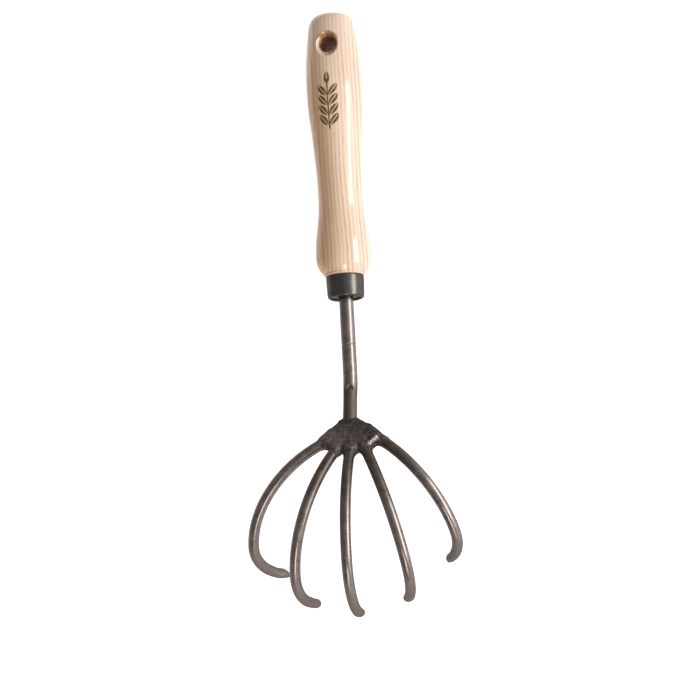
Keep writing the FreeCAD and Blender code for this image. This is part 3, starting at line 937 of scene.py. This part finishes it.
def hub_distance(local):
    """Distance to the hub's surface at points given as (forward, right, up) of the fan plane."""
    axes = np.stack([FAN_FORWARD, FAN_RIGHT, -FAN_DOWN])
    spots = np.array(FAN) + local @ axes
    flat = outline_distance(local[:, 0], local[:, 1], PAD_OUTLINE) + PAD_ROUND
    thick = np.abs(local[:, 2]) - PAD_HALF_THICKNESS
    pad = np.hypot(np.maximum(flat, 0), np.maximum(thick, 0)) + np.minimum(np.maximum(flat, thick), 0)
    total = pad - PAD_ROUND
    for parameters in TINES:
        knots = [tine_point(parameters, s)[0] for s, radius in SLEEVE]
        sleeve = chain_distance(spots, knots, [radius for s, radius in SLEEVE])
        total = blend(total, sleeve, SLEEVE_FILLET)
    knots = [np.array((along, *shank_centre(along))) for along, radius in COLLAR]
    collar = chain_distance(spots, knots, [radius for along, radius in COLLAR])
    total = blend(total, collar, COLLAR_FILLET)
    for forward, right, up, radius in BEADS:
        drop = np.linalg.norm(local - np.array((forward, right, up)), axis=1) - radius
        total = blend(total, drop, BEAD_FILLET)
    ridge = chain_distance(local, RIDGE, [RIDGE_RADIUS, RIDGE_RADIUS])
    return blend(total, ridge, RIDGE_FILLET)


def surface_net(distance, low, high, step):
    """Points and four-sided faces of the surface where the distance is zero."""
    counts = np.ceil((high - low) / step).astype(int) + 1
    grid = np.stack(np.meshgrid(*[np.arange(c) for c in counts], indexing="ij"), axis=-1)
    values = distance((grid.reshape(-1, 3) * step + low)).reshape(counts)
    cells = tuple(counts - 1)
    total = np.zeros((*cells, 3))
    hits = np.zeros(cells, dtype=int)
    for axis in range(3):
        others = [a for a in range(3) if a != axis]
        for i in (0, 1):
            for j in (0, 1):
                shift = [0, 0, 0]
                shift[others[0]], shift[others[1]] = i, j
                start = tuple(slice(shift[a], shift[a] + cells[a]) for a in range(3))
                shift[axis] = 1
                end = tuple(slice(shift[a], shift[a] + cells[a]) for a in range(3))
                shift[axis] = 0
                f0, f1 = values[start], values[end]
                cross = (f0 < 0) != (f1 < 0)
                t = np.where(cross, f0 / np.where(f0 == f1, 1.0, f0 - f1), 0.0)
                for a in range(3):
                    total[..., a] += cross * (t if a == axis else shift[a])
                hits += cross
    used = hits > 0
    index = np.full(cells, -1)
    index[used] = np.arange(used.sum())
    base = np.stack(np.nonzero(used), axis=-1)
    points = (base + total[used] / hits[used][:, None]) * step + low
    faces = []
    for axis in range(3):
        b, c = [a for a in range(3) if a != axis]
        low_part = [slice(1, counts[a] - 1) for a in range(3)]
        low_part[axis] = slice(0, counts[axis] - 1)
        high_part = list(low_part)
        high_part[axis] = slice(1, counts[axis])
        cross = (values[tuple(low_part)] < 0) != (values[tuple(high_part)] < 0)
        at = np.stack(np.nonzero(cross), axis=-1)
        at[:, b] += 1
        at[:, c] += 1
        corners = []
        for db, dc in ((1, 1), (0, 1), (0, 0), (1, 0)):
            cell = at.copy()
            cell[:, b] -= db
            cell[:, c] -= dc
            corners.append(index[cell[:, 0], cell[:, 1], cell[:, 2]])
        faces.append(np.stack(corners, axis=-1))
    return points, np.concatenate(faces)


hub_local, hub_faces = surface_net(hub_distance, NET_LOW, NET_HIGH, NET_STEP)
hub_points = []
for forward, right, up in hub_local:
    hub_points.append(place(*fan_spot(forward, right, up)))
hub = finish_piece("hub_forged", hub_points, hub_faces.tolist(), [FORGED])
tidy_normals(hub)
even = hub.modifiers.new("even", "SMOOTH")
even.factor = 0.5
even.iterations = 3
apply_modifiers(hub)
normals = [v.normal.copy() for v in hub.data.vertices]
for vertex, normal in zip(hub.data.vertices, normals):
    spot_mm = vertex.co / MM
    lump = noise.noise(spot_mm * 0.22) * 0.34 + noise.noise(spot_mm * 0.55 + Vector((9, 2, 5))) * 0.20
    grit = noise.noise(spot_mm * 1.5 + Vector((3, 8, 1))) * 0.07
    vertex.co += normal * (lump + grit - 0.05) * MM
hub.data.update()
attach(hub, "root")
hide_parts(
    "hub", "shank_weld", "left_outer_tine_weld", "left_inner_tine_weld", "centre_tine_weld",
    "right_inner_tine_weld", "right_outer_tine_weld",
)

# ---------------------------------------------------------------- floor and light
floor_nodes = Nodes("floor_paint")
floor_point = floor_nodes.position()
floor_grain = floor_nodes.noise(floor_point, 0.02, 2.0, 0.5)
floor_shade = floor_nodes.mix(floor_grain, (0.80, 0.80, 0.80), (0.82, 0.82, 0.82))
FLOOR = floor_nodes.surface(
    Base_Color=floor_shade, Roughness=0.9, Specular_IOR_Level=0.0, Emission_Color=(1.0, 1.0, 1.0, 1.0),
    Emission_Strength=0.63,
)
FLOOR_HALF = 3.0
floor = finish_piece(
    "floor",
    [(-FLOOR_HALF, -FLOOR_HALF, 0), (FLOOR_HALF, -FLOOR_HALF, 0), (FLOOR_HALF, FLOOR_HALF, 0),
     (-FLOOR_HALF, FLOOR_HALF, 0)],
    [(0, 1, 2, 3)], [FLOOR], smooth=False,
)


LIGHT_DISTANCE = 0.9
LIGHT_COLOUR = (1.0, 0.985, 0.97)


def softbox(name, toward, width, length, watts):
    """A rectangular light in the given direction from the tool, its length lying along Y as nearly
    as the direction allows."""
    data = bpy.data.lights.new(name, "AREA")
    data.shape = "RECTANGLE"
    data.size = width
    data.size_y = length
    data.energy = watts
    data.color = LIGHT_COLOUR
    light = bpy.data.objects.new(name, data)
    bpy.context.scene.collection.objects.link(light)
    out = Vector(toward).normalized()
    across = Vector((0, 1, 0)).cross(out).normalized()
    along = out.cross(across)
    facing = Matrix((across, along, out)).transposed().to_4x4()
    light.matrix_world = Matrix.Translation(out * LIGHT_DISTANCE) @ facing


# the key stands to the right of the tool and a little above the floor
softbox("key_light", (0.935, -0.060, 0.335), 0.35, 0.94, 8.1)
# a narrow upright one stands in front of the tines
softbox("front_light", (0.17, -0.84, 0.50), 0.17, 0.46, 2.0)

# the studio's walls are paler toward the tool's right: the strength rises along X
world = bpy.data.worlds.new("studio")
world.use_nodes = True
background = world.node_tree.nodes["Background"]
background.inputs["Color"].default_value = (1.0, 1.0, 1.0, 1.0)
studio_way = world.node_tree.nodes.new("ShaderNodeTexCoord")
studio_axes = world.node_tree.nodes.new("ShaderNodeSeparateXYZ")
studio_fade = world.node_tree.nodes.new("ShaderNodeMapRange")
studio_fade.interpolation_type = "SMOOTHSTEP"
for socket, value in (("From Min", -0.2), ("From Max", 0.9), ("To Min", 0.37), ("To Max", 1.0)):
    studio_fade.inputs[socket].default_value = value
world.node_tree.links.new(studio_way.outputs["Generated"], studio_axes.inputs[0])
world.node_tree.links.new(studio_axes.outputs["X"], studio_fade.inputs["Value"])
world.node_tree.links.new(studio_fade.outputs["Result"], background.inputs["Strength"])
bpy.context.scene.world = world
bpy.context.scene.view_settings.view_transform = "Standard"
